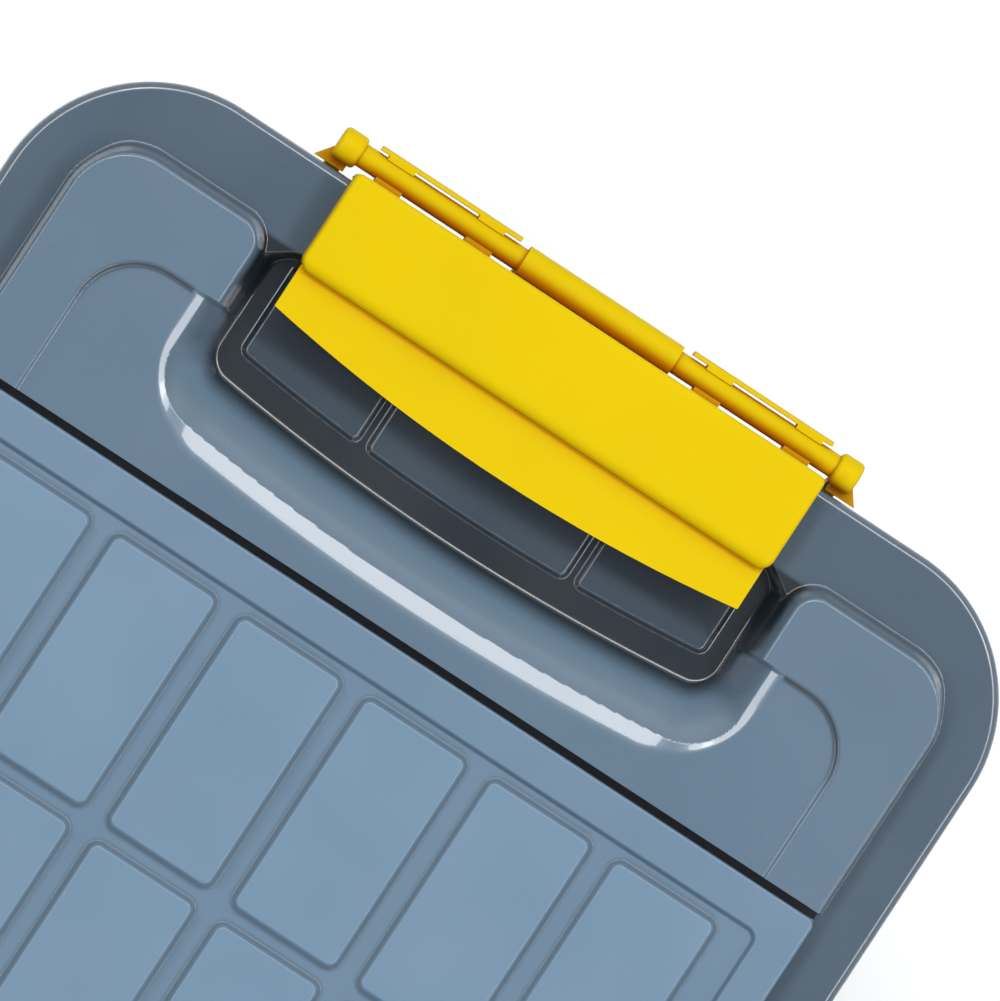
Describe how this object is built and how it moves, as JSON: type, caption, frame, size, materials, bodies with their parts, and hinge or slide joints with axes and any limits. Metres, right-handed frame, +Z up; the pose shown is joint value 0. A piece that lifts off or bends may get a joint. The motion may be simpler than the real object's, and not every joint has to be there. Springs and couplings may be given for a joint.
{
  "type": "toolbox with tray",
  "caption": "Large moulded storage toolbox with a wide lever latch at each end, an access hatch in the lid and a lift-out tray.",
  "frame": {"origin": "middle of the footprint, on the surface that the rubber feet stand on", "axes": "+X along the box, towards one latch; +Y across the lid, towards the hatch hinges; +Z up"},
  "size_m": [0.6456, 0.375, 0.322],
  "materials": {
    "lid": "smooth glossy slate-blue polypropylene",
    "tub": "slate-blue polypropylene, satin",
    "latch": "bright yellow moulded plastic",
    "tray": "dark grey moulded plastic",
    "rubber": "black rubber",
    "steel": "drawn steel rod"
  },
  "bodies": {
    "case": {"tub": "tub", "lid_frame": "lid", "hatch_hinge_pin_1": "steel", "hatch_hinge_pin_2": "steel", "lid_seal": "rubber", "hatch_seal": "rubber", "foot_1": "rubber", "foot_2": "rubber", "foot_3": "rubber", "foot_4": "rubber", "latch_pin_1": "steel", "latch_pin_caps_1": "steel", "latch_pin_2": "steel", "latch_pin_caps_2": "steel"},
    "hatch": {"hatch": "lid"},
    "link_1": {"latch_link_1": "latch"},
    "link_2": {"latch_link_2": "latch"},
    "flap_1": {"latch_flap_1": "latch"},
    "flap_2": {"latch_flap_2": "latch"},
    "tray": {"tray": "tray", "tray_divider_1": "tray", "tray_divider_2": "tray", "tray_divider_3": "tray", "tray_divider_4": "tray"},
    "tray_handle": {"tray_handle": "latch"}
  },
  "joints": [
    {"name": "hatch_open", "type": "hinge", "parent": "case", "child": "hatch", "pos_m": [0, 0.1721, 0.315], "axis": [1, 0, 0], "range_deg": [-110, 0]},
    {"name": "link_1_swing", "type": "hinge", "parent": "case", "child": "link_1", "pos_m": [0.3, 0, 0.241], "axis": [0, 1, 0], "range_deg": [0, 100]},
    {"name": "flap_1_lift", "type": "hinge", "parent": "link_1", "child": "flap_1", "pos_m": [0.3163, 0, 0.303], "axis": [0, 1, 0], "range_deg": [0, 120]},
    {"name": "link_2_swing", "type": "hinge", "parent": "case", "child": "link_2", "pos_m": [-0.3, 0, 0.241], "axis": [0, -1, 0], "range_deg": [0, 100]},
    {"name": "flap_2_lift", "type": "hinge", "parent": "link_2", "child": "flap_2", "pos_m": [-0.3163, 0, 0.303], "axis": [0, -1, 0], "range_deg": [0, 120]},
    {"name": "tray_lift", "type": "slide", "parent": "case", "child": "tray", "axis": [0, 0, 1], "range_m": [0, 0.045]},
    {"name": "tray_handle_swing", "type": "hinge", "parent": "tray", "child": "tray_handle", "pos_m": [0, 0, 0.222], "axis": [1, 0, 0], "range_deg": [0, 90]}
  ]
}
